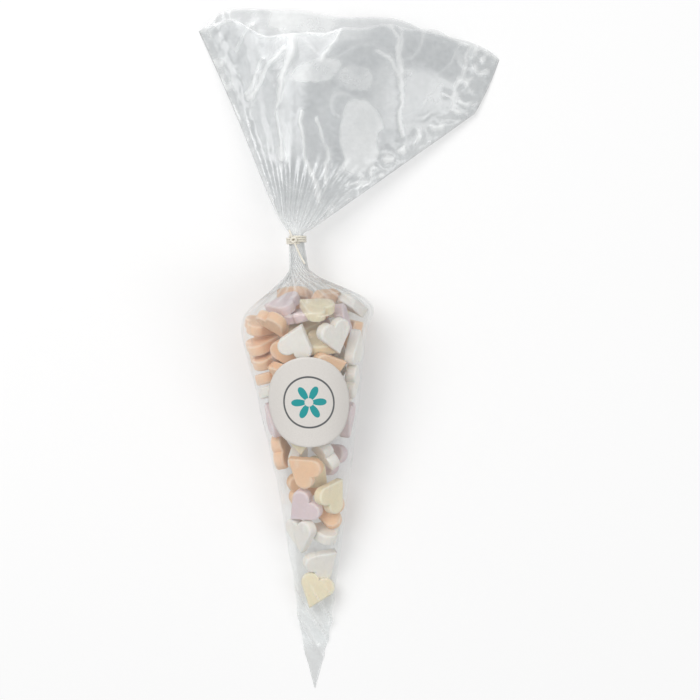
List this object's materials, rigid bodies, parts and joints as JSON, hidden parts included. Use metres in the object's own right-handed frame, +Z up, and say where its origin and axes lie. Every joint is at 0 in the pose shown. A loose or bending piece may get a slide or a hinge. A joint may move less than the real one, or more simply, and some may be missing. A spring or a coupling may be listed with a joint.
{
  "type": "clear film cone bag of sweets",
  "caption": "Clear film cone bag filled with heart-shaped pressed-sugar sweets, neck gathered and tied, open flare above, round paper sticker on the front.",
  "frame": {"origin": "on the table under the middle of the lying bag's bounding box", "axes": "+Y along the bag from its pointed tip to its open flare, +Z up through the sticker, +X to the right of the bag seen from above"},
  "size_m": [0.135, 0.305, 0.0562],
  "materials": {
    "clear_film": "clear polypropylene film, glossy",
    "tie_strand": "satin strand",
    "label_paper": "matt uncoated sticker",
    "sugar_peach": "matt pressed sugar",
    "sugar_cream": "matt pressed sugar",
    "sugar_white": "matt pressed sugar",
    "sugar_lilac": "matt pressed sugar"
  },
  "bodies": {
    "root": {"cone_bag": "clear_film", "neck_tie": "tie_strand", "round_label": "label_paper", "sweet_cream_01": "sugar_cream", "sweet_cream_08": "sugar_cream", "sweet_cream_14": "sugar_cream", "sweet_cream_23": "sugar_cream", "sweet_cream_28": "sugar_cream", "sweet_cream_29": "sugar_cream", "sweet_cream_32": "sugar_cream", "sweet_cream_34": "sugar_cream", "sweet_cream_37": "sugar_cream", "sweet_cream_40": "sugar_cream", "sweet_cream_46": "sugar_cream", "sweet_cream_56": "sugar_cream", "sweet_lilac_06": "sugar_lilac", "sweet_lilac_15": "sugar_lilac", "sweet_lilac_24": "sugar_lilac", "sweet_lilac_30": "sugar_lilac", "sweet_lilac_31": "sugar_lilac", "sweet_lilac_35": "sugar_lilac", "sweet_lilac_39": "sugar_lilac", "sweet_lilac_42": "sugar_lilac", "sweet_lilac_45": "sugar_lilac", "sweet_lilac_47": "sugar_lilac", "sweet_lilac_48": "sugar_lilac", "sweet_lilac_51": "sugar_lilac", "sweet_peach_05": "sugar_peach", "sweet_peach_07": "sugar_peach", "sweet_peach_09": "sugar_peach", "sweet_peach_10": "sugar_peach", "sweet_peach_11": "sugar_peach", "sweet_peach_13": "sugar_peach", "sweet_peach_19": "sugar_peach", "sweet_peach_22": "sugar_peach", "sweet_peach_25": "sugar_peach", "sweet_peach_26": "sugar_peach", "sweet_peach_27": "sugar_peach", "sweet_peach_36": "sugar_peach", "sweet_peach_43": "sugar_peach", "sweet_peach_49": "sugar_peach", "sweet_peach_52": "sugar_peach", "sweet_peach_53": "sugar_peach", "sweet_peach_55": "sugar_peach", "sweet_white_02": "sugar_white", "sweet_white_03": "sugar_white", "sweet_white_04": "sugar_white", "sweet_white_12": "sugar_white", "sweet_white_16": "sugar_white", "sweet_white_17": "sugar_white", "sweet_white_18": "sugar_white", "sweet_white_20": "sugar_white", "sweet_white_21": "sugar_white", "sweet_white_33": "sugar_white", "sweet_white_38": "sugar_white", "sweet_white_41": "sugar_white", "sweet_white_44": "sugar_white", "sweet_white_50": "sugar_white", "sweet_white_54": "sugar_white"}
  },
  "joints": []
}
